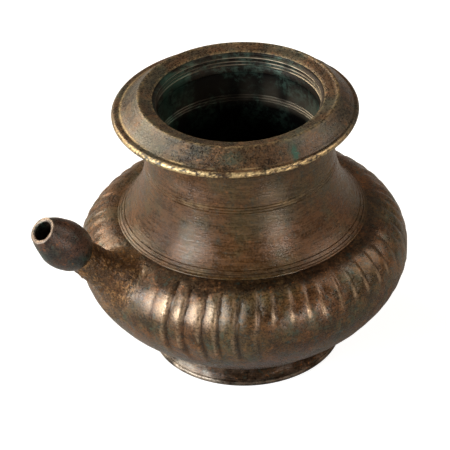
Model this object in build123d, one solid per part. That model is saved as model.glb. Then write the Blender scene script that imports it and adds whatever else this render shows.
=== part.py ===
"""Spouted brass water pot: cast rim, neck, belly, foot, spout tube and nozzle, brazed together.

Millimetres. +Z is up and +X points to the spout's side. The origin is on the pot's axis, in the
plane that the foot ring stands on. Outlines are drawn as (radius, height) and turned round an axis.
"""
from build123d import *
from math import cos, radians, sin
import os

# Walls and clearances
belly_wall = 2.4
neck_wall = 3.2
seat_gap = 0.1              # radial clearance of every spigot in its socket
end_gap = 0.3               # gap between a spigot's end and the bottom of its socket

# Foot ring
foot_radius = 44.7
foot_height = 8.5
foot_waist = 41.2           # radius where the ring meets the belly
foot_lip = 2.2              # height of the rolled edge at the bottom
foot_edge = 0.65            # how far the rolled edge curves in, above and below
foot_bore = 38.0
foot_seat_depth = 1.6       # how far the belly's boss drops into the ring
foot_seat_radius = 39.6

# Belly bowl
belly_radius = 75.3
belly_height = 49.0         # height of the widest circle
shoulder_height = 69.4      # height of the flat that the neck sits on
shoulder_round = 18.3       # how far the shoulder's curve reaches in from the widest circle
lower_waist = (0.83, 0.52)  # middle of the lower curve, as shares of the belly's radius and height
lower_normal = (0.72, 0.69) # direction square to the lower curve at that middle
lower_end = (-0.84, -0.54)  # direction of the lower curve where it meets the foot
lower_margin = 0.3          # width of the belly's flat outside the foot ring
seam_radius = 56.2          # outside of the neck's skirt on the shoulder
skirt_land = 3.2            # width of the skirt's resting face
skirt_spigot = 3.0          # depth of the skirt's spigot in the belly's opening

# Neck
throat_radius = 36.6
throat_bottom = 101.0
flare_top = 98.0            # height where the flare runs into the neck
flare_spread = 1.6          # how much wider than the neck the flare is at that height
flare_middle = (0.42, 0.40) # middle of the flare, as shares of its width and height
skirt_edge = 0.6            # upright edge of the skirt above the shoulder
straight_neck = 4.0         # length of straight neck under the flange
neck_radius = 41.3
underside_height = 113.0    # where the flange leaves the neck
neck_spigot = 6.0           # depth of the neck's spigot in the rim
rim_ledge = 1.95            # width of the neck's shoulder that the rim sits on

# Rim
rim_radius = 55.1
rim_height = 122.1          # height of the beaded edge's centre
bead_radius = 1.5
crest_radius = 44.1
crest_height = 130.4
lip_radius = 38.2
lip_height = 128.9
throat_top = 127.2          # height where the lip turns down into the throat
gutter_depth = 0.9          # how far the gutter lies below the bead's top
crest_round = 1.1           # half width of the rounded crest

# Spout
root_angle = 40.6           # place of the spout on the shoulder's curve, from the horizontal
spout_angle = 49.4          # tilt of the spout's axis, from the horizontal
spout_length = 51.4         # from the shoulder's surface to the pouring face, along the axis
tube_radius = 8.2
tube_end_radius = 7.4       # where the tube enters the bulb
root_radius = 13.4          # spread of the tube's root on the shoulder
root_sunk = 5.0             # how far the root's spread edge lies behind the spout's foot
root_knee = (2.2, 3.4)      # swell beyond the tube, and its place, where the root narrows
tube_middle = 12.0          # place along the spout where the tube has its own radius
tube_step = 0.4             # shoulder that the bulb sits against
channel_radius = 5.4
inlet_radius = 7.0          # spigot through the belly's wall
inlet_bury = 4.0            # how far the spigot runs on into the tube's root
inlet_reach = 3.2           # how far it reaches into the belly, in walls
nozzle_length = 25.5
nozzle_radius = 10.75
nozzle_full = 9.8           # height of the bulb's widest circle above its lower end
nozzle_tip_radius = 6.4
nozzle_upper = (0.83, 6.7)  # share of the full radius at this distance behind the tip
nozzle_edge = 0.6           # width of the softened edges at both ends
nozzle_socket = 6.0
pour_radius = 4.3

# Filler metal
braze_leg = 1.2             # leg of a fillet of filler metal
shoulder_bead = 0.84        # width of the low bead on the shoulder
root_braze_height = 1.3     # how far the filler climbs the spout's root
root_braze_width = 0.9

belly_rise = shoulder_height - belly_height
shoulder_centre = belly_radius - shoulder_round
shoulder_opening = seam_radius - skirt_land
boss_height = foot_height - foot_seat_depth + end_gap

spout_foot = Vector(
    shoulder_centre + shoulder_round * cos(radians(root_angle)),
    0,
    belly_height + belly_rise * sin(radians(root_angle)),
)
spout_direction = Vector(cos(radians(spout_angle)), 0, sin(radians(spout_angle)))
spout_frame = Plane(origin=spout_foot, x_dir=(0, 1, 0), z_dir=spout_direction)
nozzle_bottom = spout_length - nozzle_length


def turned(*edges):
    """Turn a closed outline of edges round the pot's axis."""
    return revolve(Plane.XZ * make_face(edges), Axis.Z, 360)


def turned_points(*points):
    """Turn a closed outline of straight lines round the pot's axis."""
    return turned(*Polyline(*points, close=True).edges())


def on_spout(solid):
    """Move a solid turned round +Z from the origin onto the spout's axis."""
    return spout_frame.location * solid


def belly_curves(inset):
    """Shoulder and lower outline of the belly, moved inwards by inset."""
    radius = belly_radius - inset
    bottom = boss_height + inset if inset > 0 else foot_height
    bottom_radius = foot_waist + lower_margin - 1.3 * inset
    middle = (
        lower_waist[0] * belly_radius - lower_normal[0] * inset,
        lower_waist[1] * belly_height + lower_normal[1] * inset,
    )
    shoulder = EllipticalCenterArc(
        (shoulder_centre, belly_height), shoulder_round - inset, belly_rise - inset, arc_size=90
    )
    lower = Spline(
        (radius, belly_height), middle, (bottom_radius, bottom), tangents=((0, -1), lower_end)
    )
    return shoulder, lower


def belly_envelope(growth=0.0):
    """Closed solid inside the belly's outer surface, grown by a small amount."""
    shoulder, lower = belly_curves(-growth)
    top = shoulder @ 1
    bottom = lower @ 1
    axis_bottom = (0, bottom.Y)
    axis_top = (0, top.Y)
    return turned(
        shoulder,
        lower,
        Line(bottom, axis_bottom),
        Line(axis_bottom, axis_top),
        Line(axis_top, top),
    )


def skirt_room():
    """Space that the neck's skirt and its bead of filler take above the shoulder."""
    room = Cylinder(
        seam_radius + shoulder_bead, flare_top - shoulder_height,
        align=(Align.CENTER, Align.CENTER, Align.MIN),
    )
    return Pos(0, 0, shoulder_height) * room


def belly_bowl():
    """Hollow belly: flat shoulder for the neck, boss below for the foot, hole for the spout."""
    outer_shoulder, outer_lower = belly_curves(0)
    inner_shoulder, inner_lower = belly_curves(belly_wall)
    outer_top = outer_shoulder @ 1
    inner_top = inner_shoulder @ 1
    outer_bottom = outer_lower @ 1
    inner_bottom = inner_lower @ 1
    rim = Polyline(
        outer_top, (shoulder_opening, outer_top.Y), (shoulder_opening, inner_top.Y), inner_top
    )
    base = Polyline(
        outer_bottom,
        (foot_seat_radius - seat_gap, foot_height),
        (foot_seat_radius - seat_gap, boss_height),
        (0, boss_height),
        (0, inner_bottom.Y),
        inner_bottom,
    )
    bowl = turned(
        outer_shoulder, outer_lower, inner_shoulder, inner_lower, *rim.edges(), *base.edges()
    )
    inlet = Cylinder(inlet_radius + seat_gap, 8 * belly_wall)
    return bowl - on_spout(inlet)


def foot_ring():
    """Flared ring with a rolled lower edge and a seat for the belly's boss."""
    lip_top = (foot_radius - foot_edge, foot_lip)
    flank = Spline((foot_waist, foot_height), lip_top, tangents=((0, -1), (0.9, -0.44)))
    edge = ThreePointArc(lip_top, (foot_radius, foot_lip / 2), (foot_radius - foot_edge, 0))
    inside = Polyline(
        (foot_radius - foot_edge, 0),
        (foot_bore, 0),
        (foot_bore, foot_height - foot_seat_depth),
        (foot_seat_radius, foot_height - foot_seat_depth),
        (foot_seat_radius, foot_height),
        (foot_waist, foot_height),
    )
    return turned(flank, edge, *inside.edges())


def neck():
    """Flared skirt with a spigot into the belly, and a neck with a spigot into the rim."""
    spigot_radius = neck_radius - rim_ledge
    skirt_top = shoulder_height + skirt_edge
    middle_radius = neck_radius + flare_middle[0] * (seam_radius - neck_radius)
    middle_height = skirt_top + flare_middle[1] * (flare_top - skirt_top)
    skirt_inside = seam_radius - skirt_land - neck_wall
    flare = Spline(
        (seam_radius, skirt_top),
        (middle_radius, middle_height),
        (neck_radius + flare_spread, flare_top),
        (neck_radius, underside_height - straight_neck),
        tangents=((-0.80, 0.60), (0, 1)),
    )
    inside_flare = Spline(
        (throat_radius, throat_bottom),
        (middle_radius - 0.9 * neck_wall, middle_height - 0.45 * neck_wall),
        (skirt_inside, shoulder_height),
        tangents=((0, -1), (0.62, -0.78)),
    )
    outside = Polyline(
        (neck_radius, underside_height - straight_neck),
        (neck_radius, underside_height),
        (spigot_radius, underside_height),
        (spigot_radius, underside_height + neck_spigot - end_gap),
        (throat_radius, underside_height + neck_spigot - end_gap),
        (throat_radius, throat_bottom),
    )
    foot = Polyline(
        (skirt_inside, shoulder_height),
        (skirt_inside, shoulder_height - skirt_spigot),
        (shoulder_opening - seat_gap, shoulder_height - skirt_spigot),
        (shoulder_opening - seat_gap, shoulder_height),
        (seam_radius, shoulder_height),
        (seam_radius, skirt_top),
    )
    return turned(flare, inside_flare, *outside.edges(), *foot.edges())


def mouth_rim():
    """Cast flange: beaded edge, gutter, cone up to the crest, and a lip sloping to the throat."""
    socket_radius = neck_radius - rim_ledge + seat_gap
    bead_bottom = (rim_radius - bead_radius, rim_height - bead_radius)
    bead_outside = (rim_radius, rim_height)
    bead_top = (rim_radius - bead_radius, rim_height + bead_radius)
    gutter = (rim_radius - bead_radius - gutter_depth, rim_height + bead_radius - gutter_depth)
    shelf = (gutter[0] - 2 * gutter_depth, rim_height + bead_radius + gutter_depth / 2)
    bead = ThreePointArc(bead_bottom, bead_outside, bead_top)
    crest = ThreePointArc(
        (crest_radius + crest_round, crest_height - crest_round / 2),
        (crest_radius, crest_height),
        (crest_radius - crest_round, crest_height - crest_round / 3),
    )
    top = Polyline(bead_top, gutter, shelf, crest @ 0)
    lip = Polyline(
        crest @ 1,
        (lip_radius, lip_height),
        (throat_radius, throat_top),
        (throat_radius, underside_height + neck_spigot),
        (socket_radius, underside_height + neck_spigot),
        (socket_radius, underside_height),
        (neck_radius, underside_height),
        bead_bottom,
    )
    return turned(bead, crest, *top.edges(), *lip.edges())


def spout_tube():
    """Tube with a spread root shaped to the shoulder, and a spigot through the belly's wall."""
    root = Spline(
        (root_radius, -root_sunk),
        (tube_radius + root_knee[0], root_knee[1]),
        (tube_radius, tube_middle),
        tangents=((-0.45, 0.9), (0, 1)),
    )
    upper = Spline(
        (tube_radius, tube_middle), (tube_end_radius, nozzle_bottom), tangents=((0, 1), (-0.1, 1))
    )
    frame = Polyline(
        (tube_end_radius, nozzle_bottom),
        (tube_end_radius - tube_step, nozzle_bottom),
        (tube_end_radius - tube_step, nozzle_bottom + nozzle_socket - end_gap),
        (0, nozzle_bottom + nozzle_socket - end_gap),
        (0, -2 * root_sunk),
        (root_radius, -2 * root_sunk),
        (root_radius, -root_sunk),
    )
    tube = on_spout(turned(root, upper, *frame.edges())) - belly_envelope() - skirt_room()
    spigot_length = inlet_reach * belly_wall + inlet_bury
    spigot = Cylinder(inlet_radius, spigot_length, align=(Align.CENTER, Align.CENTER, Align.MAX))
    channel = Cylinder(channel_radius, 4 * spout_length)
    return tube + on_spout(Pos(0, 0, inlet_bury) * spigot) - on_spout(channel)


def spout_nozzle():
    """Acorn-shaped bulb with a socket for the tube and a straight pouring hole."""
    bulb = Spline(
        (tube_end_radius + nozzle_edge, nozzle_edge),
        (nozzle_radius, nozzle_full),
        (nozzle_upper[0] * nozzle_radius, nozzle_length - nozzle_upper[1]),
        (nozzle_tip_radius, nozzle_length - nozzle_edge),
        tangents=((0.75, 0.66), (-0.35, 0.94)),
    )
    socket_radius = tube_end_radius - tube_step + seat_gap
    bore = Polyline(
        (nozzle_tip_radius, nozzle_length - nozzle_edge),
        (nozzle_tip_radius - nozzle_edge, nozzle_length),
        (pour_radius, nozzle_length),
        (pour_radius, nozzle_socket),
        (socket_radius, nozzle_socket),
        (socket_radius, 0),
        (tube_end_radius, 0),
        (tube_end_radius + nozzle_edge, nozzle_edge),
    )
    nozzle = turned(bulb, *bore.edges())
    return spout_frame.location * (Pos(0, 0, nozzle_bottom) * nozzle)


def rim_braze():
    """Fillet of filler metal in the corner under the flange."""
    return turned_points(
        (neck_radius, underside_height),
        (neck_radius, underside_height - braze_leg),
        (neck_radius + braze_leg, underside_height),
    ) - mouth_rim()


def shoulder_braze():
    """Low bead of filler metal round the foot of the neck's skirt."""
    return turned_points(
        (seam_radius, shoulder_height),
        (seam_radius + shoulder_bead, shoulder_height),
        (seam_radius, shoulder_height + 0.7 * shoulder_bead),
    )


def foot_braze():
    """Filler metal in the corner between the foot ring and the belly."""
    corner = turned_points(
        (foot_waist - braze_leg / 2, foot_height - braze_leg),
        (foot_waist + braze_leg, foot_height + braze_leg / 2),
        (foot_waist - braze_leg / 2, foot_height + braze_leg / 2),
    )
    return corner - foot_ring() - belly_envelope()


def spout_braze():
    """Band of filler metal where the spout's root meets the shoulder."""
    band = belly_envelope(root_braze_height) - belly_envelope()
    around = Cylinder(root_radius + root_braze_width, 2 * root_radius)
    inside = Cylinder(inlet_radius + root_knee[1], 3 * root_radius)
    return (band & on_spout(around)) - on_spout(inside) - spout_tube() - skirt_room()


def nozzle_braze():
    """Ring of filler metal behind the bulb."""
    ring = turned_points(
        (tube_end_radius - braze_leg / 4, 0),
        (tube_end_radius + braze_leg / 2, 0),
        (tube_end_radius - braze_leg / 4, -braze_leg),
    )
    return spout_frame.location * (Pos(0, 0, nozzle_bottom) * ring) - spout_tube()


pieces = {
    "foot_ring": foot_ring(),
    "belly_bowl": belly_bowl(),
    "neck": neck(),
    "mouth_rim": mouth_rim(),
    "spout_tube": spout_tube(),
    "spout_nozzle": spout_nozzle(),
    "rim_braze": rim_braze(),
    "shoulder_braze": shoulder_braze(),
    "foot_braze": foot_braze(),
    "spout_braze": spout_braze(),
    "nozzle_braze": nozzle_braze(),
}

os.makedirs("parts", exist_ok=True)
for name, piece in pieces.items():
    piece.label = name
    export_step(piece, f"parts/{name}.step")
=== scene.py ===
"""Spouted brass water pot, drawn piece by piece in the order it is put together.

Sizes are millimetres as (radius, height) about the pot's axis, made metres by mm. Azimuths are
degrees about +Z from +X, the side that the spout points to.
"""
from math import atan2, cos, degrees, exp, hypot, pi, radians, sin

import bmesh
import bpy
from mathutils import Matrix, Vector, noise
from mathutils.geometry import interpolate_bezier


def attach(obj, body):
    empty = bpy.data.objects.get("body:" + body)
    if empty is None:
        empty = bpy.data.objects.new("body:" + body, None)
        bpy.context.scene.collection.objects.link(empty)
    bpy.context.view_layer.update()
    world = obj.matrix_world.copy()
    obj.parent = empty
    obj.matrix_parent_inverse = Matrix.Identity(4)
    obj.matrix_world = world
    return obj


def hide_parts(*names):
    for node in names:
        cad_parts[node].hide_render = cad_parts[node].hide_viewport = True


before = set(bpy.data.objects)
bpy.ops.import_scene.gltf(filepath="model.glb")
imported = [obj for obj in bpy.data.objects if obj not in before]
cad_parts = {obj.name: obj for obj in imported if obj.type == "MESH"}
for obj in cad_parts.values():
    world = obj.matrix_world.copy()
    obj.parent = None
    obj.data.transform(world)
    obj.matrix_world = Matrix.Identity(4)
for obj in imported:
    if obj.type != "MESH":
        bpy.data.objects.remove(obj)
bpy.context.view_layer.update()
mm = 0.001

# ---------------------------------------------------------------------------------------------
# Camera. A long lens looks down at the pot from the side, a little askew, with the spout to the
# left of the picture.
camera_azimuth = radians(56)
camera_climb = radians(34.61)
camera_distance = 1.05
camera_roll = radians(-2.53)
aim_right = -8.3 * mm
aim_up = 49.1 * mm

outward = Vector((cos(camera_azimuth), sin(camera_azimuth), 0))
upright = Vector((0, 0, 1))
rightward = Vector((-sin(camera_azimuth), cos(camera_azimuth), 0))
backward = outward * cos(camera_climb) + upright * sin(camera_climb)
lifted = upright * cos(camera_climb) - outward * sin(camera_climb)
place = backward * camera_distance + rightward * aim_right + lifted * aim_up
camera_x = rightward * cos(camera_roll) + lifted * sin(camera_roll)
camera_y = lifted * cos(camera_roll) - rightward * sin(camera_roll)
turn = Matrix((camera_x, camera_y, backward)).transposed().to_4x4()
lens = bpy.data.cameras.new("camera")
lens.lens = 177
lens.sensor_width = 36
camera = bpy.data.objects.new("camera", lens)
camera.matrix_world = Matrix.Translation(place) @ turn
bpy.context.scene.collection.objects.link(camera)
bpy.context.scene.camera = camera
bpy.context.scene.view_settings.view_transform = "Standard"

# ---------------------------------------------------------------------------------------------
# Stage. A pale floor under the foot ring, a large soft window on the spout's side, a small one in
# front, a warm card behind, a warm fill on the side away from the spout, and a dim warm room.
floor_shape = bmesh.new()
bmesh.ops.create_grid(floor_shape, x_segments=1, y_segments=1, size=4)
floor_mesh = bpy.data.meshes.new("floor")
floor_shape.to_mesh(floor_mesh)
floor_shape.free()
floor = bpy.data.objects.new("floor", floor_mesh)
bpy.context.scene.collection.objects.link(floor)
paper = bpy.data.materials.new("pale_paper")
paper.use_nodes = True
paper_shader = paper.node_tree.nodes["Principled BSDF"]
paper_shader.inputs["Base Color"].default_value = (0.40, 0.40, 0.40, 1)
paper_shader.inputs["Roughness"].default_value = 0.9
paper_shader.inputs["Emission Color"].default_value = (1, 1, 1, 1)
glance = paper.node_tree.nodes.new("ShaderNodeLightPath")
faint_glow = paper.node_tree.nodes.new("ShaderNodeMath")
faint_glow.operation = "MULTIPLY"
faint_glow.inputs[1].default_value = 0.86
paper.node_tree.links.new(glance.outputs["Is Camera Ray"], faint_glow.inputs[0])
paper.node_tree.links.new(faint_glow.outputs[0], paper_shader.inputs["Emission Strength"])
floor_mesh.materials.append(paper)


def soft_window(name, azimuth, climb, distance, width, height, watts, tint):
    """Rectangular lamp facing the middle of the pot."""
    lamp = bpy.data.lights.new(name, "AREA")
    lamp.shape = "RECTANGLE"
    lamp.size = width
    lamp.size_y = height
    lamp.energy = watts
    lamp.color = tint
    piece = bpy.data.objects.new(name, lamp)
    a, c = radians(azimuth), radians(climb)
    towards = Vector((cos(a) * cos(c), sin(a) * cos(c), sin(c)))
    piece.location = towards * distance + Vector((0, 0, 0.07))
    piece.rotation_euler = towards.to_track_quat("Z", "Y").to_euler()
    bpy.context.scene.collection.objects.link(piece)


soft_window("window_left", -8, 19, 1.3, 0.85, 0.80, 23.5, (0.94, 0.98, 1))
soft_window("window_right", 90, 10, 1.3, 0.32, 0.42, 5.6, (1, 0.92, 0.84))
soft_window("card_behind", -68, 34, 1.5, 0.9, 0.9, 24, (1, 0.86, 0.68))
soft_window("fill_right", 146, 40, 1.6, 0.9, 0.7, 8.5, (1, 0.86, 0.72))
room = bpy.data.worlds.new("room")
room.use_nodes = True
room.node_tree.nodes["Background"].inputs["Color"].default_value = (1, 0.88, 0.76, 1)
room.node_tree.nodes["Background"].inputs["Strength"].default_value = 0.14
bpy.context.scene.world = room

# ---------------------------------------------------------------------------------------------
# Belly bowl. Cast in one with upright flutes round its widest part, each rising slowly to a
# ridge and dropping sharply after it. Flat shoulder for the neck, boss below for the foot ring,
# and an inlet hole for the spout.
belly_radius, belly_height = 75.3, 49.0
shoulder_height, shoulder_round = 69.4, 18.3
shoulder_opening, shoulder_flat = 53.0, 57.0
belly_wall = 2.4
foot_waist, foot_height = 41.2, 8.5
boss_radius, boss_height = 39.5, 7.2
flute_count = 56
flute_depth = 1.45
flute_drop = 0.27           # share of a flute's width taken by its sharp side
flute_top, flute_bottom = 67.6, 37.0
inlet_hole_radius, inlet_drill_length = 7.1, 20.0
drill_reach = 14.0          # how far from the inlet hole's middle the drilling changes faces
weld_gap = 0.02             # corners nearer together than this become one
spout_angle = radians(49.4)
root_angle = radians(40.6)
spout_foot = Vector((
    shoulder_flat + shoulder_round * cos(root_angle),
    0,
    belly_height + (shoulder_height - belly_height) * sin(root_angle),
)) * mm
spout_axis = Vector((cos(spout_angle), 0, sin(spout_angle)))


def curve(start, pull, push, end, count):
    """Points of a smooth stretch of outline, drawn like a pen curve, without its last point."""
    points = interpolate_bezier(Vector(start), Vector(pull), Vector(push), Vector(end), count + 1)
    return [(p.x, p.y) for p in points[:-1]]


def quarter(centre, width, rise, first, last, count):
    """Points of an elliptical arc between two angles, without its last point."""
    angles = [radians(first + (last - first) * i / count) for i in range(count)]
    return [(centre[0] + width * cos(a), centre[1] + rise * sin(a)) for a in angles]


def smooth(low, high, value):
    """Rises smoothly from 0 at low to 1 at high."""
    t = min(1, max(0, (value - low) / (high - low)))
    return t * t * (3 - 2 * t)


def spun(outline, steps, closed=True):
    """Closed skin made by spinning an outline of (radius, height, skin) round the pot's axis."""
    shape = bmesh.new()
    skin = shape.verts.layers.float.new("skin")
    # This layer marks worn metal and painted highlights.
    shape.verts.layers.float.new("wear_and_highlight")
    shape.verts.layers.float.new("green")
    # This layer marks painted shade: darkening in creases, under overhangs, inside holes and beside
    # the spout.
    shape.verts.layers.float.new("painted_shade")
    ring = []
    for radius, height, side in outline:
        point = shape.verts.new((radius * mm, 0, height * mm))
        point[skin] = side
        ring.append(point)
    pairs = zip(ring, ring[1:] + ring[:1]) if closed else zip(ring, ring[1:])
    for first, second in pairs:
        shape.edges.new((first, second))
    bmesh.ops.spin(
        shape, geom=shape.verts[:] + shape.edges[:], cent=(0, 0, 0), axis=(0, 0, 1),
        angle=2 * pi, steps=steps, use_merge=True, use_duplicate=False,
    )
    bmesh.ops.remove_doubles(shape, verts=shape.verts, dist=1e-7)
    bmesh.ops.recalc_face_normals(shape, faces=shape.faces)
    shape.normal_update()
    return shape


def sided(points, side):
    """Marks a stretch of outline: 1 for the outside of the pot, -1 for the inside, 0 for hidden."""
    return [(radius, height, side) for radius, height in points]


def placed(shape, name, node, material, sharp=38):
    """Turns a shape into a finished piece that stands for its design node."""
    mesh = bpy.data.meshes.new(name)
    shape.to_mesh(mesh)
    shape.free()
    mesh.shade_smooth()
    mesh.set_sharp_from_angle(angle=radians(sharp))
    mesh.materials.append(material)
    piece = bpy.data.objects.new(name, mesh)
    bpy.context.scene.collection.objects.link(piece)
    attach(piece, "root")
    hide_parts(node)
    return piece


def flute_edge(number):
    """Where a hand-cut ridge really stands, in flute widths from the zero azimuth."""
    wrapped = number % flute_count
    return number + 0.08 * sin(2.3 * wrapped) + 0.06 * sin(5.1 * wrapped + 1.0)


def flute_place(azimuth):
    """Phase within a flute, 0 at its ridge, and the flute's number, for an azimuth in degrees."""
    count = azimuth * flute_count / 360
    number = int(count // 1)
    if count < flute_edge(number):
        number -= 1
    elif count > flute_edge(number + 1):
        number += 1
    start, stop = flute_edge(number), flute_edge(number + 1)
    return (count - start) / (stop - start), number % flute_count


def flute_rise(azimuth, height):
    """How high in a flute a spot lies, how near its ridge and its valley, and how strong it is."""
    wander = 0.5 * sin(0.16 * height + 0.7 * sin(azimuth / 9))
    phase, number = flute_place((azimuth + wander) % 360)
    if phase < flute_drop:
        rise = 0.5 + 0.5 * cos(pi * phase / flute_drop)
    else:
        rise = sin(0.5 * pi * (phase - flute_drop) / (1 - flute_drop)) ** 0.85
    ridge = exp(-((min(phase, 1 - phase) - 0.02) / 0.075) ** 2)
    top = flute_top + 0.9 * sin(3.7 * number)
    bottom = flute_bottom + 2.2 * sin(1.9 * number + 0.5)
    ends = smooth(top + 1.2, top - 2.6, height) * smooth(bottom - 4.5, bottom + 5, height)
    turned = (azimuth - 36 + 180) % 360 - 180
    short = smooth(17, 32, abs(turned)) * smooth(62.5, 57, height)
    strength = 1 - 0.75 * short - 0.5 * smooth(15, 70, -turned) - 0.4 * smooth(12, 34, turned)
    valley = exp(-((phase - 0.8 * flute_drop) / 0.09) ** 2)
    return rise, ridge, valley, ends * strength


def shade_beside_spout(point):
    """Painted shade: a dark patch between the spout's upper side and the flare, where the tube shades
    the shoulder.
    """
    start, end = Vector((82, 4, 85)) * mm, Vector((64, 15, 67.5)) * mm
    along = end - start
    share = min(1, max(0, (point - start).dot(along) / along.length_squared))
    away = (point - start - along * share).length / mm
    return 0.95 * exp(-(away / 7) ** 2)


def stippled(point, strength):
    """Depth of punch marks on and round the spout."""
    across = Vector((point.x, point.y, point.z * 0.4))
    return (noise.noise(across * 1700) * 0.6 + noise.noise(point * 330) * 0.35 + 0.2) * strength


def cast_skin(point):
    """Unevenness of the cast surface, in millimetres."""
    return noise.noise(point * 70) * 0.22 + noise.noise(point * 230) * 0.09


belly_inside = (
    curve((38.4, 9.6), (51.0, 17.7), (72.9, 34.0), (72.9, 49.0), 12)
    + quarter((shoulder_flat, belly_height), shoulder_round - belly_wall,
              shoulder_height - belly_height - belly_wall, 0, 90, 8)
    + [(shoulder_flat, shoulder_height - belly_wall)]
)
belly_outside = (
    [(shoulder_opening + 1.6, shoulder_height), (shoulder_flat - 0.6, shoulder_height)]
    + quarter((shoulder_flat, belly_height), shoulder_round, shoulder_height - belly_height, 90, 0, 40)
    + curve((belly_radius, belly_height), (belly_radius, 33.3), (54.9, 17.1), (41.5, 8.5), 38)[:-3]
    + [(44.2, 10.2), (43.75, 9.9), (43.5, 9.95), (42.9, 9.4), (42.4, 8.95)]
    + [(41.5, foot_height)]
)
bowl = spun(
    [(0, 9.6, -1), (20, 9.6, -1)]
    + sided(belly_inside, -1)
    + sided([(shoulder_opening, shoulder_height - belly_wall),
             (shoulder_opening, shoulder_height)], 0)
    + sided(belly_outside, 1)
    + sided([(boss_radius, foot_height), (boss_radius, boss_height), (0, boss_height)], 0),
    flute_count * 10, closed=False,
)
skin = bowl.verts.layers.float["skin"]
wear_and_highlight = bowl.verts.layers.float["wear_and_highlight"]
painted_shade = bowl.verts.layers.float["painted_shade"]
for point in bowl.verts:
    if point[skin] < 0.5:
        continue
    height = point.co.z / mm
    azimuth = degrees(atan2(point.co.y, point.co.x))
    rise, ridge, valley, strength = flute_rise(azimuth, height)
    cut = strength * (smooth(19, 27, azimuth) if azimuth > 0 else smooth(11, 21, -azimuth))
    rough = smooth(foot_height, foot_height + 6, height)
    rough *= smooth(shoulder_height, shoulder_height - 2, height)
    worn_and_lit = 0.5 + 0.5 * noise.noise(point.co * 210 + Vector((4, 2, 7)))
    near_spout = abs(azimuth) < 40 and height > 40
    from_axis = (point.co - spout_foot).cross(spout_axis).length / mm if near_spout else 99
    # Wear on the flutes, partly real and partly painted highlight: the ridges are brightest from
    # azimuth 10 to 130 but for a dip round 58, and the lobe tips to the right and the lobes round
    # azimuth 33 are lit bright where the windows reflect.
    handled_and_highlit = smooth(19, 9, abs(azimuth - 33)) * smooth(53, 58.5, height) * smooth(66, 63.5, height)
    handled_and_highlit *= smooth(16, 23, from_axis)
    facing = smooth(10, 24, azimuth) * smooth(130, 100, azimuth)
    facing *= 1 - 0.7 * exp(-((azimuth - 58) / 9) ** 2)
    tips = exp(-((height - 58.5) / 2.4) ** 2) * smooth(55, 68, azimuth) * facing
    crisp = 0.5 + 0.9 * noise.noise(point.co * 900)
    point[wear_and_highlight] = (ridge * cut * smooth(0.2, 0.6, worn_and_lit) * (0.15 + 0.55 * facing * crisp)
                   + 1.2 * ridge * tips * smooth(0.1, 0.5, worn_and_lit)
                   + 0.6 * handled_and_highlit * rise * smooth(0.0, 0.5, worn_and_lit))
    # Painted shade: a dark band in the crease along the shoulder, strongest round azimuth 60, dark
    # lines in the flute valleys, and the dark patch beside the spout.
    shaded = 0.25 + 0.75 * smooth(90, 40, abs(azimuth - 60))
    band = 66.6 - 2.0 * smooth(16, 6, abs(azimuth - 30))
    in_valley = (0.2 + 0.5 * smooth(75, 50, azimuth) * smooth(0, 20, azimuth)) * valley * cut
    point[painted_shade] = max(0.85 * shaded * smooth(band, band + 2, height),
                      shade_beside_spout(point.co), in_valley)
    punched = smooth(22, 15, from_axis)
    mark = stippled(point.co, 0.5 * punched)
    point[wear_and_highlight] = max(point[wear_and_highlight], 0.3 * punched * smooth(0.1, -0.12, mark))
    raised = (rise - 0.9) * flute_depth * cut + cast_skin(point.co) * rough - mark
    point.co += point.normal * raised * mm
    reach = hypot(point.co.x, point.co.y) / mm
    if reach > belly_radius - 0.05:
        point.co.x *= (belly_radius - 0.05) / reach
        point.co.y *= (belly_radius - 0.05) / reach


def add(tree, kind, values=None, **settings):
    """Adds a node, sets its options, and fills or links its inputs."""
    made = tree.nodes.new(kind)
    for option, value in settings.items():
        setattr(made, option, value)
    for socket, value in (values or {}).items():
        target = made.inputs[socket]
        if isinstance(value, bpy.types.NodeSocket):
            tree.links.new(value, target)
        else:
            target.default_value = value
    return made


def mix(tree, amount, first, second, kind="RGBA", blend="MIX"):
    """Mixes two colours, or two values, and returns the result's socket."""
    made = tree.nodes.new("ShaderNodeMix")
    made.data_type = kind
    made.blend_type = blend
    sockets = [s for s in made.inputs if s.enabled]
    for target, value in zip(sockets, (amount, first, second)):
        if isinstance(value, bpy.types.NodeSocket):
            tree.links.new(value, target)
        else:
            target.default_value = value
    return next(s for s in made.outputs if s.enabled)


def ramp(tree, value, low, high):
    """Value stretched so that low gives 0 and high gives 1, with soft ends."""
    made = add(tree, "ShaderNodeMapRange", {0: value, 1: low, 2: high, 3: 0.0, 4: 1.0},
               interpolation_type="SMOOTHSTEP")
    return made.outputs[0]


def speckle(tree, vector, scale, detail=4.0, rough=0.6):
    """Cloudy value from 0 to 1 at a scale in cells per metre."""
    made = add(tree, "ShaderNodeTexNoise",
               {"Vector": vector, "Scale": scale, "Detail": detail, "Roughness": rough})
    return made.outputs["Fac"]


def maths(tree, operation, first, second=0.0):
    """Result of one arithmetic step on two values."""
    return add(tree, "ShaderNodeMath", {0: first, 1: second}, operation=operation).outputs[0]


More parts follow.
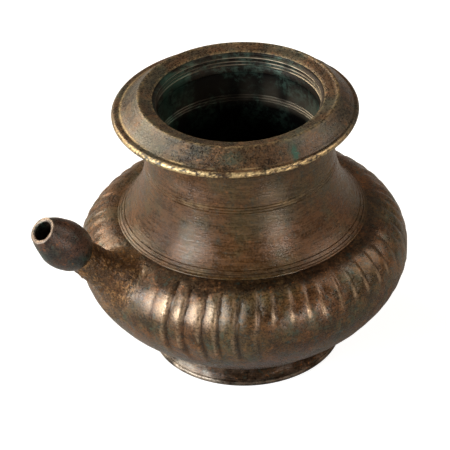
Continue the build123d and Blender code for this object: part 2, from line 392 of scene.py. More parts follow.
def patina_group():
    """Old handled bronze: brown and olive skin, pits, copper flecks, verdigris, worn metal, painted
    shade and painted highlights.
    """
    group = bpy.data.node_groups.new("old_bronze", "ShaderNodeTree")
    for name, kind, value in (
        ("Brown", "NodeSocketColor", (0.078, 0.034, 0.0090, 1)),
        ("Olive", "NodeSocketColor", (0.060, 0.038, 0.013, 1)),
        # Colour of worn metal, also used for painted highlights.
        ("Worn", "NodeSocketColor", (0.42, 0.29, 0.15, 1)),
        ("Wear_and_highlight", "NodeSocketFloat", 0.0),
        ("Green", "NodeSocketFloat", 0.0),
        ("Painted_shade_amount", "NodeSocketFloat", 0.0),
        ("Mottle", "NodeSocketFloat", 0.8),
        ("Flecks", "NodeSocketFloat", 0.5),
        ("Verdigris", "NodeSocketFloat", 0.1),
        ("Turning", "NodeSocketFloat", 0.5),
        ("Streaks", "NodeSocketFloat", 0.33),
        ("Grain", "NodeSocketFloat", 0.5),
        ("Gloss", "NodeSocketFloat", 0.34),
    ):
        socket = group.interface.new_socket(name, in_out="INPUT", socket_type=kind)
        socket.default_value = value
    for name, kind in (("Color", "NodeSocketColor"), ("Roughness", "NodeSocketFloat"),
                       ("Metallic", "NodeSocketFloat"), ("Height", "NodeSocketFloat")):
        group.interface.new_socket(name, in_out="OUTPUT", socket_type=kind)
    given = group.nodes.new("NodeGroupInput").outputs
    here = add(group, "ShaderNodeTexCoord").outputs["Object"]
    apart = add(group, "ShaderNodeSeparateXYZ", {0: here}).outputs
    flat = add(group, "ShaderNodeCombineXYZ", {0: apart[0], 1: apart[1]}).outputs[0]
    radius = add(group, "ShaderNodeVectorMath", {0: flat}, operation="LENGTH").outputs["Value"]
    round_about = maths(group, "ARCTAN2", apart[1], apart[0])
    drift = maths(group, "MULTIPLY", speckle(group, here, 30), 0.0016)
    streak = add(group, "ShaderNodeCombineXYZ", {
        0: maths(group, "ADD", radius, drift),
        1: maths(group, "ADD", maths(group, "MULTIPLY", round_about, 0.0045),
                 maths(group, "MULTIPLY", apart[2], 0.15)),
        2: maths(group, "ADD", apart[2], drift),
    }).outputs[0]
    lines = speckle(group, streak, 850, detail=4, rough=0.85)
    patches = speckle(group, here, 42, detail=6, rough=0.65)
    blotches = speckle(group, here, 150, detail=6, rough=0.7)
    fleck = speckle(group, here, 640, detail=5, rough=0.75)
    fine = speckle(group, here, 1150, detail=3, rough=0.75)
    crumbs = speckle(group, here, 330, detail=5, rough=0.75)
    base = mix(group, ramp(group, patches, 0.42, 0.60), given["Brown"], given["Olive"])
    shade = mix(group, ramp(group, blotches, 0.32, 0.68),
                (0.42, 0.42, 0.46, 1), (1.6, 1.55, 1.45, 1))
    base = mix(group, given["Mottle"], base, mix(group, 1.0, base, shade, blend="MULTIPLY"))
    # Painted shade: a near-black brown base where the shade mask is set.
    painted_shade_mask = maths(group, "MULTIPLY", given["Painted_shade_amount"], ramp(group, crumbs, 0.25, 0.55))
    base = mix(group, painted_shade_mask, base, (0.026, 0.014, 0.007, 1))
    salt = mix(group, ramp(group, fine, 0.36, 0.64), (0.25, 0.26, 0.30, 1), (2.0, 1.85, 1.65, 1))
    unrubbed_and_unlit = maths(group, "SUBTRACT", 1.0, maths(group, "MULTIPLY", given["Wear_and_highlight"], 0.5))
    grainy = maths(group, "MULTIPLY", given["Grain"], unrubbed_and_unlit)
    base = mix(group, grainy, base, mix(group, 1.0, base, salt, blend="MULTIPLY"))
    turned = mix(group, ramp(group, lines, 0.38, 0.64),
                 (0.50, 0.48, 0.48, 1), (1.6, 1.55, 1.45, 1))
    base = mix(group, given["Streaks"], base, mix(group, 1.0, base, turned, blend="MULTIPLY"))
    rust = maths(group, "MULTIPLY", ramp(group, fleck, 0.56, 0.68),
                 ramp(group, blotches, 0.46, 0.60))
    base = mix(group, maths(group, "MULTIPLY", rust, given["Flecks"]), base, (0.33, 0.115, 0.032, 1))
    tarnish = maths(group, "MULTIPLY", ramp(group, crumbs, 0.56, 0.64), given["Flecks"])
    base = mix(group, maths(group, "MULTIPLY", tarnish, 0.8), base, (0.036, 0.056, 0.047, 1))
    pits = maths(group, "MULTIPLY", ramp(group, fleck, 0.41, 0.34), given["Mottle"])
    base = mix(group, maths(group, "MULTIPLY", pits, 0.45), base, (0.015, 0.010, 0.007, 1))
    damp = maths(group, "MULTIPLY", ramp(group, speckle(group, here, 85, 6, 0.7), 0.52, 0.66),
                 ramp(group, fleck, 0.42, 0.58))
    green = maths(group, "MAXIMUM", maths(group, "MULTIPLY", damp, given["Verdigris"]),
                  maths(group, "MULTIPLY", given["Green"], ramp(group, fleck, 0.36, 0.50)))
    green = maths(group, "MINIMUM", maths(group, "SUBTRACT", green, painted_shade_mask), 1.0)
    green = maths(group, "MAXIMUM", green, 0.0)
    base = mix(group, green, base, (0.024, 0.084, 0.056, 1))
    broken = maths(group, "ADD", maths(group, "MULTIPLY", fine, 0.6),
                   maths(group, "MULTIPLY", fleck, 0.4))
    # Worn metal and painted highlights both take the light worn colour.
    worn_and_lit = maths(group, "MULTIPLY", given["Wear_and_highlight"], ramp(group, broken, 0.32, 0.56))
    worn_and_lit = maths(group, "MINIMUM", worn_and_lit, 1.0)
    colour = mix(group, worn_and_lit, base, given["Worn"])
    uneven = maths(group, "MULTIPLY", maths(group, "SUBTRACT", blotches, 0.5), 0.35)
    gloss = maths(group, "ADD", given["Gloss"], uneven)
    for marks, share, depth in ((fine, grainy, 0.85), (fleck, grainy, 0.85),
                                (lines, given["Turning"], 1.5)):
        change = maths(group, "MULTIPLY", maths(group, "SUBTRACT", marks, 0.5), depth)
        gloss = maths(group, "ADD", gloss, maths(group, "MULTIPLY", change, share))
    dull = maths(group, "ADD", green, maths(group, "MULTIPLY", painted_shade_mask, 0.5))
    gloss = maths(group, "ADD", gloss, maths(group, "MULTIPLY", dull, 0.25))
    gloss = maths(group, "MAXIMUM", gloss, 0.14)
    metal = maths(group, "ADD", maths(group, "MULTIPLY", worn_and_lit, 0.4), 0.32)
    # Painted shade turns metallic as well, so the dark base gives almost no reflection.
    metal = maths(group, "MAXIMUM", metal, maths(group, "MULTIPLY", painted_shade_mask, 0.95))
    relief = maths(group, "MULTIPLY", lines, given["Turning"])
    grain = maths(group, "ADD", fleck, maths(group, "MULTIPLY", fine, 0.55))
    relief = maths(group, "ADD", relief, maths(group, "MULTIPLY", grain, given["Grain"]))
    out = group.nodes.new("NodeGroupOutput").inputs
    for name, value in (("Color", colour), ("Roughness", gloss),
                        ("Metallic", metal), ("Height", relief)):
        group.links.new(value, out[name])
    return group


old_bronze = patina_group()


def bronze(name, relief=0.22, inside=True, **values):
    """Material of one casting: the shared skin, and on its inside painted shade, nearly black, with
    green crust.

    The relief is the depth of the bump in millimetres.
    """
    material = bpy.data.materials.new(name)
    material.use_nodes = True
    tree = material.node_tree
    shader = tree.nodes["Principled BSDF"]
    coat = add(tree, "ShaderNodeGroup", node_tree=old_bronze)
    for socket, value in values.items():
        coat.inputs[socket].default_value = value
    # Masks for worn metal with painted highlights, green crust, and painted shade.
    for attribute, socket in (("wear_and_highlight", "Wear_and_highlight"), ("green", "Green"), ("painted_shade", "Painted_shade_amount")):
        mask = add(tree, "ShaderNodeAttribute", attribute_name=attribute).outputs["Fac"]
        tree.links.new(mask, coat.inputs[socket])
    colour = coat.outputs["Color"]
    gloss = coat.outputs["Roughness"]
    metal = coat.outputs["Metallic"]
    if inside:
        side = add(tree, "ShaderNodeAttribute", attribute_name="skin").outputs["Fac"]
        within = ramp(tree, side, 0.0, -1.0)
        here = add(tree, "ShaderNodeTexCoord").outputs["Object"]
        crust = maths(tree, "MULTIPLY", ramp(tree, speckle(tree, here, 60, 6, 0.7), 0.44, 0.60),
                      ramp(tree, speckle(tree, here, 380, 5, 0.75), 0.40, 0.58))
        # Painted shade: the inside is nearly black, under the green crust.
        dark = mix(tree, crust, (0.005, 0.004, 0.0035, 1), (0.065, 0.115, 0.090, 1))
        crusty = add(tree, "ShaderNodeAttribute", attribute_name="green").outputs["Fac"]
        dark = mix(tree, maths(tree, "MINIMUM", crusty, 1.0), dark, (0.022, 0.080, 0.058, 1))
        # Worn metal and painted highlights on the inner ribs.
        bare = add(tree, "ShaderNodeAttribute", attribute_name="wear_and_highlight").outputs["Fac"]
        dark = mix(tree, maths(tree, "MINIMUM", bare, 1.0), dark, (0.42, 0.35, 0.26, 1))
        colour = mix(tree, within, colour, dark)
        gloss = mix(tree, within, gloss, 0.5, kind="FLOAT")
        metal = mix(tree, within, metal, 0.75, kind="FLOAT")
    tree.links.new(colour, shader.inputs["Base Color"])
    tree.links.new(gloss, shader.inputs["Roughness"])
    tree.links.new(metal, shader.inputs["Metallic"])
    shader.inputs["Specular IOR Level"].default_value = 0.65
    bump = add(tree, "ShaderNodeBump",
               {"Height": coat.outputs["Height"], "Distance": relief * mm, "Strength": 1.0})
    tree.links.new(bump.outputs["Normal"], shader.inputs["Normal"])
    return material


belly_bronze = bronze("belly_bronze", Worn=(0.50, 0.35, 0.22, 1), Flecks=0.9, Verdigris=0.42,
                      Turning=0.35, Grain=0.62, Gloss=0.29)
belly = placed(bowl, "belly", "belly_bowl", belly_bronze)
inlet_shape = bmesh.new()
bmesh.ops.create_cone(
    inlet_shape, cap_ends=True, segments=48, radius1=inlet_hole_radius * mm,
    radius2=inlet_hole_radius * mm, depth=inlet_drill_length * mm,
    matrix=Matrix.Translation(spout_foot) @ spout_axis.to_track_quat("Z", "Y").to_matrix().to_4x4(),
)
inlet_mesh = bpy.data.meshes.new("inlet")
inlet_shape.to_mesh(inlet_mesh)
inlet_shape.free()
inlet = bpy.data.objects.new("inlet", inlet_mesh)
bpy.context.scene.collection.objects.link(inlet)
drill = belly.modifiers.new("inlet_hole", "BOOLEAN")
drill.operation = "DIFFERENCE"
drill.solver = "EXACT"
drill.object = inlet
bpy.context.view_layer.update()
graph = bpy.context.evaluated_depsgraph_get()
drilled = bpy.data.meshes.new_from_object(belly.evaluated_get(graph))
belly.modifiers.clear()
belly.data = drilled
belly.data.name = "belly"
bpy.data.objects.remove(inlet)

# Slivers left along the hole's edge are welded, and faces that the weld folds flat on themselves
# are taken away, so that the bowl stays one closed skin.
bowl = bmesh.new()
bowl.from_mesh(drilled)
bmesh.ops.remove_doubles(bowl, verts=bowl.verts, dist=weld_gap * mm)
bmesh.ops.dissolve_degenerate(bowl, edges=bowl.edges, dist=weld_gap * mm)
bowl.verts.index_update()
cut_faces = [face for face in bowl.faces
             if (face.calc_center_median() - spout_foot).length < drill_reach * mm]
bmesh.ops.triangulate(bowl, faces=cut_faces)
twins = {}
for face in bowl.faces:
    twins.setdefault(frozenset(vert.index for vert in face.verts), []).append(face)
folded = [face for same in twins.values() if len(same) > 1 for face in same]
folded += [face for face in bowl.faces
           if face not in folded and sum(edge.is_boundary for edge in face.edges) > 1]
bmesh.ops.delete(bowl, geom=folded, context="FACES")
bmesh.ops.recalc_face_normals(bowl, faces=bowl.faces)
bowl.to_mesh(drilled)
bowl.free()

# ---------------------------------------------------------------------------------------------
# Foot ring. A low cast ring that flares to a rolled lower edge, brazed under the belly, with
# its edge worn bright where the pot is set down and dragged. A painted highlight brightens it
# round azimuth -8, towards the large window, and painted shade darkens it from azimuth 20 to 170.
foot_bore, foot_seat_radius, foot_seat_height = 38.0, 39.6, 6.9
set_down_wear = 0.2         # metal lost at the edge that the pot stands on
foot_outside = (
    curve((foot_waist, foot_height), (foot_waist, 5.4), (42.4, 3.3), (43.9, 2.5), 14)
    + quarter((43.5, 1.25), 1.2, 1.25, 85, -70, 9)
)
foot = spun(
    sided(foot_outside, 1)
    + sided([(43.4, 0), (42.0, 0), (foot_bore + 0.6, 0), (foot_bore, 0.6),
             (foot_bore, foot_seat_height), (foot_seat_radius, foot_seat_height),
             (foot_seat_radius, foot_height)], 0),
    256,
)
wear_and_highlight = foot.verts.layers.float["wear_and_highlight"]
painted_shade = foot.verts.layers.float["painted_shade"]
for point in foot.verts:
    height = point.co.z / mm
    azimuth = degrees(atan2(point.co.y, point.co.x))
    low = smooth(4.5, 1.5, height)
    out = smooth(42.5, 44.2, hypot(point.co.x, point.co.y) / mm)
    # Painted highlight round azimuth -8, towards the large window, over real wear of the edge.
    left = smooth(75, 15, abs(azimuth + 8))
    worn_and_lit = 0.5 + 0.5 * noise.noise(point.co * 190 + Vector((1, 5, 3)))
    point[wear_and_highlight] = low * out * (0.2 + 0.6 * left) * smooth(0.2, 0.6, worn_and_lit)
    point[wear_and_highlight] += 0.3 * left * smooth(0.45, 0.7, worn_and_lit)
    # Painted shade from azimuth 20 to 170.
    point[painted_shade] = smooth(20, 50, azimuth % 360) * smooth(170, 130, azimuth % 360)
    dent = noise.noise(point.co * 55) * 0.35 + noise.noise(point.co * 240) * 0.14
    if height > 0.7:
        raised = dent * smooth(foot_height, 5, height) - set_down_wear * low * out
        point.co += point.normal * raised * mm
foot_bronze = bronze("foot_bronze", inside=False, Brown=(0.056, 0.026, 0.008, 1),
                     Olive=(0.036, 0.024, 0.010, 1), Worn=(0.50, 0.41, 0.32, 1), Flecks=0.7,
                     Verdigris=0.15, Turning=0.4, Grain=0.7, Gloss=0.30)
placed(foot, "foot", "foot_ring", foot_bronze)

# ---------------------------------------------------------------------------------------------
# Foot seam. Filler metal run round the corner between the foot ring and the belly when the two
# were brazed, since gone as dark as they are.
seam_steps = 192
corner = spun(
    sided([(foot_waist - 0.5, 7.4), (foot_waist + 0.1, 7.5), (foot_waist + 0.5, 8.3),
           (foot_waist + 1.2, 9.1), (foot_waist - 0.3, 8.8)], 1), seam_steps)
placed(corner, "foot_seam", "foot_braze", foot_bronze)

# ---------------------------------------------------------------------------------------------
# Neck and flared shoulder, turned on a lathe after casting. Fine scored lines mark the neck and
# the skirt's edge. The skirt drops into the belly, and the neck's spigot into the rim.
neck_radius, throat_radius = 41.3, 36.6
seam_radius = 56.2
underside_height = 113.0
neck_spigot_radius, neck_spigot_top = 39.35, 118.7
skirt_radius, skirt_bore, skirt_bottom = 52.9, 49.8, 66.4


def scored(points, places, depth, width):
    """Cuts fine V grooves into an outline at the given lengths along it."""
    lengths = [0.0]
    for first, second in zip(points, points[1:]):
        lengths.append(lengths[-1] + hypot(second[0] - first[0], second[1] - first[1]))

    def at(length):
        for i in range(len(points) - 1):
            if lengths[i + 1] >= length:
                share = (length - lengths[i]) / (lengths[i + 1] - lengths[i])
                step = (points[i + 1][0] - points[i][0], points[i + 1][1] - points[i][1])
                size = hypot(*step)
                spot = (points[i][0] + share * step[0], points[i][1] + share * step[1])
                return spot, (step[1] / size, -step[0] / size)
        return points[-1], (1, 0)

    keyed = [(length, point) for length, point in zip(lengths, points)
             if all(abs(length - place) > width for place in places)]
    for place in places:
        for offset, share in ((-1, 0), (-0.55, 0), (0, 1), (0.55, 0), (1, 0)):
            spot, side = at(place + offset * width)
            sink = depth * share
            keyed.append((place + offset * width,
                          (spot[0] - side[0] * sink, spot[1] - side[1] * sink)))
    return [point for _, point in sorted(keyed)]


flare = scored(
    [(seam_radius, 69.5), (seam_radius - 0.15, 70.0)]
    + curve((seam_radius - 0.3, 70.1), (49.0, 75.4), (44.2, 87.0), (42.9, 98.0), 46)
    + curve((42.9, 98.0), (42.5, 101.5), (neck_radius, 104.5), (neck_radius, 109.0), 12)
    + [(neck_radius, 109.0), (neck_radius, underside_height)],
    (1.6, 3.5, 29.2, 30.5, 31.8), 0.34, 0.40,
)
within = scored(
    [(throat_radius, neck_spigot_top), (throat_radius, 101.0)]
    + curve((throat_radius, 101.0), (throat_radius, 90.0), (45.5, 76.0), (skirt_bore, 69.4), 26)
    + [(skirt_bore, skirt_bottom)],
    (11.6, 13.0, 14.4), 0.45, 0.6,
)


def crusted(point, azimuth):
    """Thick green crust inside the mouth, on the spout's side."""
    side = smooth(250, 285, azimuth % 360) + smooth(45, 20, azimuth % 360)
    return 0.55 * side * smooth(0.0, 0.35, noise.noise(point * 85) + 0.4 * noise.noise(point * 260))


neck = spun(
    sided(flare, 1)
    + sided([(neck_spigot_radius, underside_height), (neck_spigot_radius, neck_spigot_top)], 0)
    + sided(within, -1)
    + sided([(skirt_radius, skirt_bottom), (skirt_radius, shoulder_height)], 0),
    288,
)
wear_and_highlight = neck.verts.layers.float["wear_and_highlight"]
painted_shade = neck.verts.layers.float["painted_shade"]
green = neck.verts.layers.float["green"]
skin = neck.verts.layers.float["skin"]
for point in neck.verts:
    height = point.co.z / mm
    radius = hypot(point.co.x, point.co.y) / mm
    azimuth = degrees(atan2(point.co.y, point.co.x))
    worn_and_lit = 0.5 + 0.5 * noise.noise(point.co * 120)
    if point[skin] > 0.5:
        scored_zone = exp(-((height - 96.7) / 1.5) ** 2)
        hem = exp(-((radius - 55.0) / 1.0) ** 2)
        # Painted highlights: the scored lines are bright round azimuth 25 and 82, and the skirt's edge
        # round 28, where the windows reflect, over a little real wear.
        facing = exp(-((azimuth - 25) / 15) ** 2) + exp(-((azimuth - 82) / 11) ** 2)
        crisp = smooth(-0.2, 0.4, noise.noise(point.co * 600))
        point[wear_and_highlight] = (0.06 + 0.5 * facing) * scored_zone * crisp
        hem_lit = 0.08 + 0.45 * exp(-((azimuth - 28) / 12) ** 2)
        point[wear_and_highlight] += hem_lit * hem * smooth(0.3, 0.6, worn_and_lit) * crisp
        # Painted shade: on the flare's foot by the shoulder seam, strongest round azimuth 60, under
        # the rim's flange, and beside the spout.
        shaded = 0.25 + 0.75 * smooth(90, 40, abs(azimuth - 60))
        point[painted_shade] = 0.5 * shaded * smooth(73, 70, height) + 0.35 * smooth(109, 112, height)
        point[painted_shade] = max(point[painted_shade], shade_beside_spout(point.co))
        shake = noise.noise(point.co * 40) * 0.22 + noise.noise(point.co * 110) * 0.05
        point.co += point.normal * shake * smooth(70, 74, height) * smooth(112, 106, height) * mm
    elif point[skin] < -0.5:
        ribs = exp(-((height - 105.7) / 2.3) ** 2)
        # Worn ribs in the throat, with a painted highlight at the back, where the large window lights
        # them.
        lit = 0.25 + 0.75 * smooth(95, 130, azimuth % 360) * smooth(255, 215, azimuth % 360)
        point[wear_and_highlight] = 0.7 * ribs * lit * smooth(0.2, 0.6, worn_and_lit)
        point[green] = crusted(point.co, azimuth)
neck_bronze = bronze("neck_bronze", Flecks=0.5, Verdigris=0.14, Mottle=0.4,
                     Turning=0.8, Grain=0.4, Gloss=0.29)
placed(neck, "neck_flare", "neck", neck_bronze)

# ---------------------------------------------------------------------------------------------
# Shoulder seam. A fine bead of filler metal where the skirt's edge was brazed on the shoulder of
# the belly.
bead = spun(
    sided([(seam_radius - 0.1, 69.3)] + quarter((seam_radius + 0.1, 69.4), 0.75, 0.55, 0, 90, 5)
          + [(seam_radius - 0.1, 69.95)], 1), seam_steps)
placed(bead, "shoulder_seam", "shoulder_braze", neck_bronze)

# ---------------------------------------------------------------------------------------------
# Mouth rim. A heavy flange cast apart and brazed on the neck: beaded edge, gutter, a cone up to
# the crest and a lip that slopes in to ribs at the throat. Its edge is off centre, worn bright
# in front with a painted highlight there, and chipped. The throat's ribs carry a painted
# highlight at the back.
rim_radius, rim_height, bead_radius = 55.1, 122.1, 1.5
crest_radius, crest_height = 44.1, 130.3
rim_socket_radius, rim_socket_top = 39.45, 119.0
worn_and_lit_side = 56.0            # azimuth of the side of the edge that is rubbed bright and carries a painted highlight
edge_shift = Vector((cos(radians(-34)), sin(radians(-34)), 0)) * 1.6 * mm
rim_outside = (
    [(neck_radius, underside_height), (neck_radius + 0.4, underside_height + 0.1)]
    + curve((42.2, 113.4), (46.0, 116.5), (50.0, 118.6), (53.2, 120.5), 10)
    + quarter((rim_radius - bead_radius, rim_height), bead_radius, bead_radius, -78, 112, 14)
    + [(52.75, 123.5), (52.5, 123.3), (52.25, 123.3), (52.0, 123.6), (51.6, 124.0)]
    + curve((51.2, 124.35), (49.0, 126.3), (47.4, 128.0), (45.3, 129.6), 16)
    + quarter((crest_radius + 0.1, crest_height - 0.9), 1.15, 0.9, 40, 150, 7)
    + curve((42.9, 129.85), (41.5, 129.6), (39.8, 129.4), (38.4, 128.9), 7)
    + [(38.2, 128.75)]
)
rim_throat = (
    quarter((38.0, 127.9), 0.55, 0.75, 75, -75, 5)
    + [(37.5, 127.1), (37.35, 126.9), (36.85, 126.75), (36.65, 126.45), (36.85, 126.15),
       (37.4, 126.0), (37.65, 125.7), (37.6, 125.2), (37.3, 124.95), (36.8, 124.8),
       (36.65, 124.5), (36.8, 124.2), (37.25, 124.05), (37.4, 123.7), (37.25, 123.3),
       (36.8, 123.1), (36.6, 122.8), (36.7, 122.5), (36.95, 122.3), (36.9, 121.9)]
    + [(throat_radius, 121.4), (throat_radius, rim_socket_top)]
)
rim = spun(
    sided(rim_outside, 1)
    + sided(rim_throat, -0.75)
    + sided([(rim_socket_radius, rim_socket_top), (rim_socket_radius, underside_height)], 0),
    360,
)
wear_and_highlight = rim.verts.layers.float["wear_and_highlight"]
skin = rim.verts.layers.float["skin"]
green = rim.verts.layers.float["green"]
for point in rim.verts:
    height = point.co.z / mm
    radius = hypot(point.co.x, point.co.y) / mm
    azimuth = degrees(atan2(point.co.y, point.co.x))
    around = (azimuth - worn_and_lit_side + 180) % 360 - 180
    outer = smooth(50, 54.5, radius)
    worn_and_lit = 0.5 + 0.5 * noise.noise(point.co * 150 + Vector((9, 1, 4)))
    rough_edge = 0.5 + 0.8 * noise.noise(point.co * 900)
    edge = smooth(53.6, 54.6, radius) * smooth(120.6, 121.6, height)
    brow = exp(-((radius - 44.2) / 0.9) ** 2) * smooth(129, 130, height)
    lip = exp(-((radius - 38.3) / 0.6) ** 2) * smooth(127.6, 128.6, height)
    # The front of the edge is worn and carries a painted highlight.
    facing = smooth(85, 30, abs(around + 8))
    ribs = sum(exp(-((height - level) / 0.22) ** 2) for level in (126.45, 124.55, 122.85))
    ribs *= 0.9 * smooth(-0.5, -0.7, point[skin]) * smooth(0.1, 0.5, worn_and_lit)
    # Painted highlight on the throat's ribs at the back, where the large window lights them.
    ribs *= 0.25 + 0.75 * smooth(35, 60, around % 360) * smooth(200, 170, around % 360)
    rubbed_and_highlit = (0.12 + 1.2 * facing) * smooth(0.35, 0.6, 0.45 * worn_and_lit + 0.55 * rough_edge)
    point[wear_and_highlight] = (edge * rubbed_and_highlit + 0.3 * brow * smooth(0.4, 0.6, rough_edge)
                   + 0.35 * lip * smooth(0.35, 0.6, rough_edge) + ribs)
    inner_line = exp(-((radius - 52.0) / 0.3) ** 2)
    inner_line *= smooth(30, -10, around) * smooth(-150, -110, around)
    point[wear_and_highlight] += 0.55 * inner_line * smooth(0.3, 0.6, worn_and_lit)
    blur = 1.6 * noise.noise(point.co * 260)
    spot = exp(-((around - 27 + blur) / 1.7) ** 2) * exp(-((radius - 49.3 + blur) / 2.7) ** 2)
    stain = exp(-((around + 5) / 6) ** 2) * exp(-((radius - 49 + blur) / 2.2) ** 2)
    if point[skin] < -0.5:
        point[green] = crusted(point.co, azimuth)
    else:
        point[green] = 2.2 * spot + 0.4 * stain
    chipped = exp(-((around - 24) / 14) ** 2) + 0.25 * exp(-((around + 2) / 10) ** 2)
    bites = max(0, noise.noise(point.co * 330 + Vector((2, 8, 5)))) * 4.2
    nick = exp(-((around - 127) / 1.6) ** 2) * 1.5
    if point[skin] > 0.5:
        loss = edge * (chipped * bites * 0.9 + nick + 0.12)
        shake = noise.noise(point.co * 45) * 0.18
        point.co += point.normal * (shake * outer - loss) * mm
        gutter_fill = 0.38 * exp(-((radius - 52.35) / 0.42) ** 2) * smooth(-5, 25, abs(around + 20))
        point.co.z += gutter_fill * mm
    point.co += edge_shift * outer
rim_bronze = bronze("rim_bronze", Brown=(0.066, 0.037, 0.017, 1), Olive=(0.045, 0.040, 0.026, 1),
                    Worn=(0.68, 0.50, 0.25, 1), Flecks=0.5, Verdigris=0.25, Turning=0.4,
                    Grain=0.75, Gloss=0.33)
placed(rim, "rim", "mouth_rim", rim_bronze)

# ---------------------------------------------------------------------------------------------
# Rim seam. A small hollow fillet of filler metal in the corner under the flange, where the neck's
# spigot was brazed into it.
fillet_face = curve((neck_radius, 111.8), (neck_radius + 0.15, 112.6),
                    (neck_radius + 0.4, 112.85), (neck_radius + 1.2, 113.15), 5)
fillet = spun(
    sided(fillet_face + [(neck_radius + 1.2, 113.15), (neck_radius - 0.1, 113.2),
                         (neck_radius - 0.1, 111.8)], 1), seam_steps)
placed(fillet, "rim_seam", "rim_braze", neck_bronze)

# ---------------------------------------------------------------------------------------------
# Spout tube. Cast with a punched, stippled surface and a root that spreads on the shoulder, with
# a spigot through the belly's wall and another that carries the nozzle. Its channel is bored.
tube_radius, tube_end_radius = 8.2, 7.4
channel_radius, tube_spigot_radius = 5.4, 7.0
tube_spigot_length, inlet_depth = 5.7, -7.7
nozzle_bottom = 25.9
blend_radius, root_radius = 12.6, 16.2
spout_turn = Matrix.Translation(spout_foot) @ Matrix.Rotation(pi / 2 - spout_angle, 4, "Y")


def belly_below(x, y):
    """Where a line along the spout at x, y meets the shoulder, in millimetres from its foot."""
    low, high = -14.0, 14.0
    for _ in range(24):
        middle = (low + high) / 2
        spot = spout_turn @ (Vector((x, y, middle)) * mm) / mm
        radius = hypot(spot.x, spot.y)
        rise = max(0.0, spot.z - belly_height) / (shoulder_height - belly_height)
        reach = max(0.0, radius - shoulder_flat) / shoulder_round
        if rise * rise + reach * reach < 1:
            low = middle
        else:
            high = middle
    return middle


tube_side = (
    [(blend_radius, 0.0)]
    + curve((blend_radius, 0.9), (10.9, 2.0), (8.9, 5.2), (tube_radius, 12.0), 30)
    + curve((tube_radius, 12.0), (8.1, 17.0), (7.7, 22.0), (tube_end_radius, nozzle_bottom), 26)
    + [(tube_end_radius, nozzle_bottom)]
)
tube = spun(
    sided(tube_side, 1)
    + sided([(tube_spigot_radius, nozzle_bottom),
             (tube_spigot_radius, nozzle_bottom + tube_spigot_length),
             (channel_radius, nozzle_bottom + tube_spigot_length)], 0)
    + sided([(channel_radius, 12), (channel_radius, 0), (channel_radius, inlet_depth)], -1)
    + sided([(tube_spigot_radius, inlet_depth), (tube_spigot_radius, -2.0)], 0),
    144,
)
skin = tube.verts.layers.float["skin"]
wear_and_highlight = tube.verts.layers.float["wear_and_highlight"]
painted_shade = tube.verts.layers.float["painted_shade"]
for point in tube.verts:
    if point[skin] < 0.5:
        continue
    x, y, z = point.co / mm
    lower = smooth(13, 1, z)
    drop = belly_below(x, y)
    mark = stippled(point.co, 0.8 * smooth(26, 22, z))
    point.co += point.normal * -mark * mm
    point.co.z += (drop + 0.35) * lower * mm
    point[wear_and_highlight] = 0.12 + 0.8 * smooth(0.12, -0.12, mark)
    # Painted shade beside the spout's upper side.
    point[painted_shade] = shade_beside_spout(spout_turn @ point.co)
tube.transform(spout_turn)
tube_bronze = bronze("tube_bronze", relief=0.35, Brown=(0.050, 0.020, 0.005, 1),
                     Olive=(0.040, 0.022, 0.007, 1), Worn=(0.46, 0.25, 0.10, 1), Flecks=0.6,
                     Verdigris=0.06, Turning=0.0, Grain=0.9, Gloss=0.26)
placed(tube, "tube", "spout_tube", tube_bronze, sharp=60)

# ---------------------------------------------------------------------------------------------
# Spout seam. An apron of filler metal round the spout's root, punched over like the tube so that
# it blends into the belly.
apron_step, apron_bottom = 0.32, -1.2
apron_side = [(root_radius - step * apron_step, 0.0) for step in range(18)]
apron_under = [(blend_radius - 2, apron_bottom), (root_radius, apron_bottom)]
apron = spun(sided(apron_side, 1) + sided(apron_under, 0), 160)
wear_and_highlight = apron.verts.layers.float["wear_and_highlight"]
painted_shade = apron.verts.layers.float["painted_shade"]
skin = apron.verts.layers.float["skin"]
for point in apron.verts:
    x, y, z = point.co / mm
    out = max(0.0, (root_radius - hypot(x, y)) / (root_radius - blend_radius))
    mark = stippled(point.co, 0.7 * max(0.4, min(1, out))) * point[skin]
    lift = 1.25 * out * out - 0.12
    drop = belly_below(x, y)
    on_belly = spout_turn @ (Vector((x, y, drop)) * mm)
    point.co.z += (drop + (lift - mark) * point[skin] + cast_skin(on_belly)) * mm
    point[wear_and_highlight] = (0.12 + 0.8 * smooth(0.12, -0.12, mark)) * (0.45 + 0.55 * min(1, 0.7 * out))
    # Painted shade beside the spout's upper side.
    point[painted_shade] = shade_beside_spout(spout_turn @ point.co)
apron.transform(spout_turn)
placed(apron, "spout_seam", "spout_braze", tube_bronze, sharp=60)

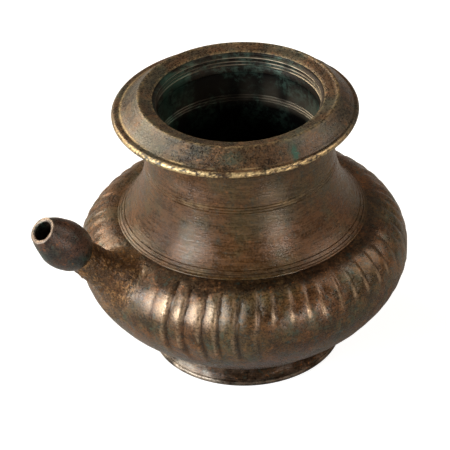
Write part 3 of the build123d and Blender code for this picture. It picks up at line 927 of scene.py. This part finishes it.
# ---------------------------------------------------------------------------------------------
# Spout nozzle. A smooth acorn-shaped bulb socketed over the end of the tube, with a straight
# pouring hole whose edge is worn bright.
nozzle_radius, nozzle_tip = 10.75, 6.4
pour_radius = 4.3
nozzle_socket_radius, nozzle_socket_depth = 7.1, 6.0
bulb_side = (
    curve((7.9, 0.2), (9.3, 1.2), (nozzle_radius, 4.6), (nozzle_radius, 9.8), 18)
    + curve((nozzle_radius, 9.8), (nozzle_radius, 14.8), (8.6, 19.8), (nozzle_tip, 24.5), 22)
    + quarter((nozzle_tip - 0.8, 24.5), 0.8, 0.85, 0, 90, 6)
)
bulb = spun(
    sided(bulb_side, 1)
    + sided([(5.2, 25.32), (4.65, 25.2), (pour_radius, 24.8)], 1)
    + sided([(pour_radius, 24.4), (pour_radius, 21)], -0.4)
    + sided([(pour_radius, 19), (pour_radius, nozzle_socket_depth)], -1)
    + sided([(nozzle_socket_radius, nozzle_socket_depth), (nozzle_socket_radius, 0.0),
             (7.6, 0.0)], 0),
    96,
)
skin = bulb.verts.layers.float["skin"]
wear_and_highlight = bulb.verts.layers.float["wear_and_highlight"]
painted_shade = bulb.verts.layers.float["painted_shade"]
for point in bulb.verts:
    if point[skin] < 0.5:
        # Painted shade inside the pouring hole, darker deeper in.
        point[painted_shade] = smooth(-0.5, -0.9, point[skin])
        continue
    along = point.co.z / mm
    worn_and_lit = 0.5 + 0.5 * noise.noise(point.co * 420)
    point[wear_and_highlight] = (0.75 * smooth(24.7, 25.3, along) * smooth(0.15, 0.55, worn_and_lit)
                   + 0.25 * smooth(22.5, 24.5, along) * smooth(0.5, 0.7, worn_and_lit))
    shake = noise.noise(point.co * 120) * 0.25 + noise.noise(point.co * 420) * 0.07
    point.co += point.normal * shake * smooth(0.2, 3, along) * smooth(25.2, 22, along) * mm
nozzle_turn = spout_turn @ Matrix.Translation((0, 0, nozzle_bottom * mm))
bulb.transform(nozzle_turn)
nozzle_bronze = bronze("nozzle_bronze", relief=0.25, inside=False, Brown=(0.036, 0.016, 0.009, 1),
                       Olive=(0.017, 0.023, 0.020, 1), Worn=(0.27, 0.205, 0.155, 1), Mottle=1.0,
                       Flecks=1.0, Verdigris=0.7, Turning=0.0, Grain=0.85, Gloss=0.34)
placed(bulb, "nozzle", "spout_nozzle", nozzle_bronze)

# ---------------------------------------------------------------------------------------------
# Nozzle seam. A thin ring of filler metal behind the bulb, where it was brazed on the end of the
# tube.
collar = spun(
    sided([(7.3, -1.2), (7.55, -0.5), (8.0, 0.1), (7.2, 0.2)], 1), 96)
collar.transform(nozzle_turn)
placed(collar, "nozzle_seam", "nozzle_braze", tube_bronze)
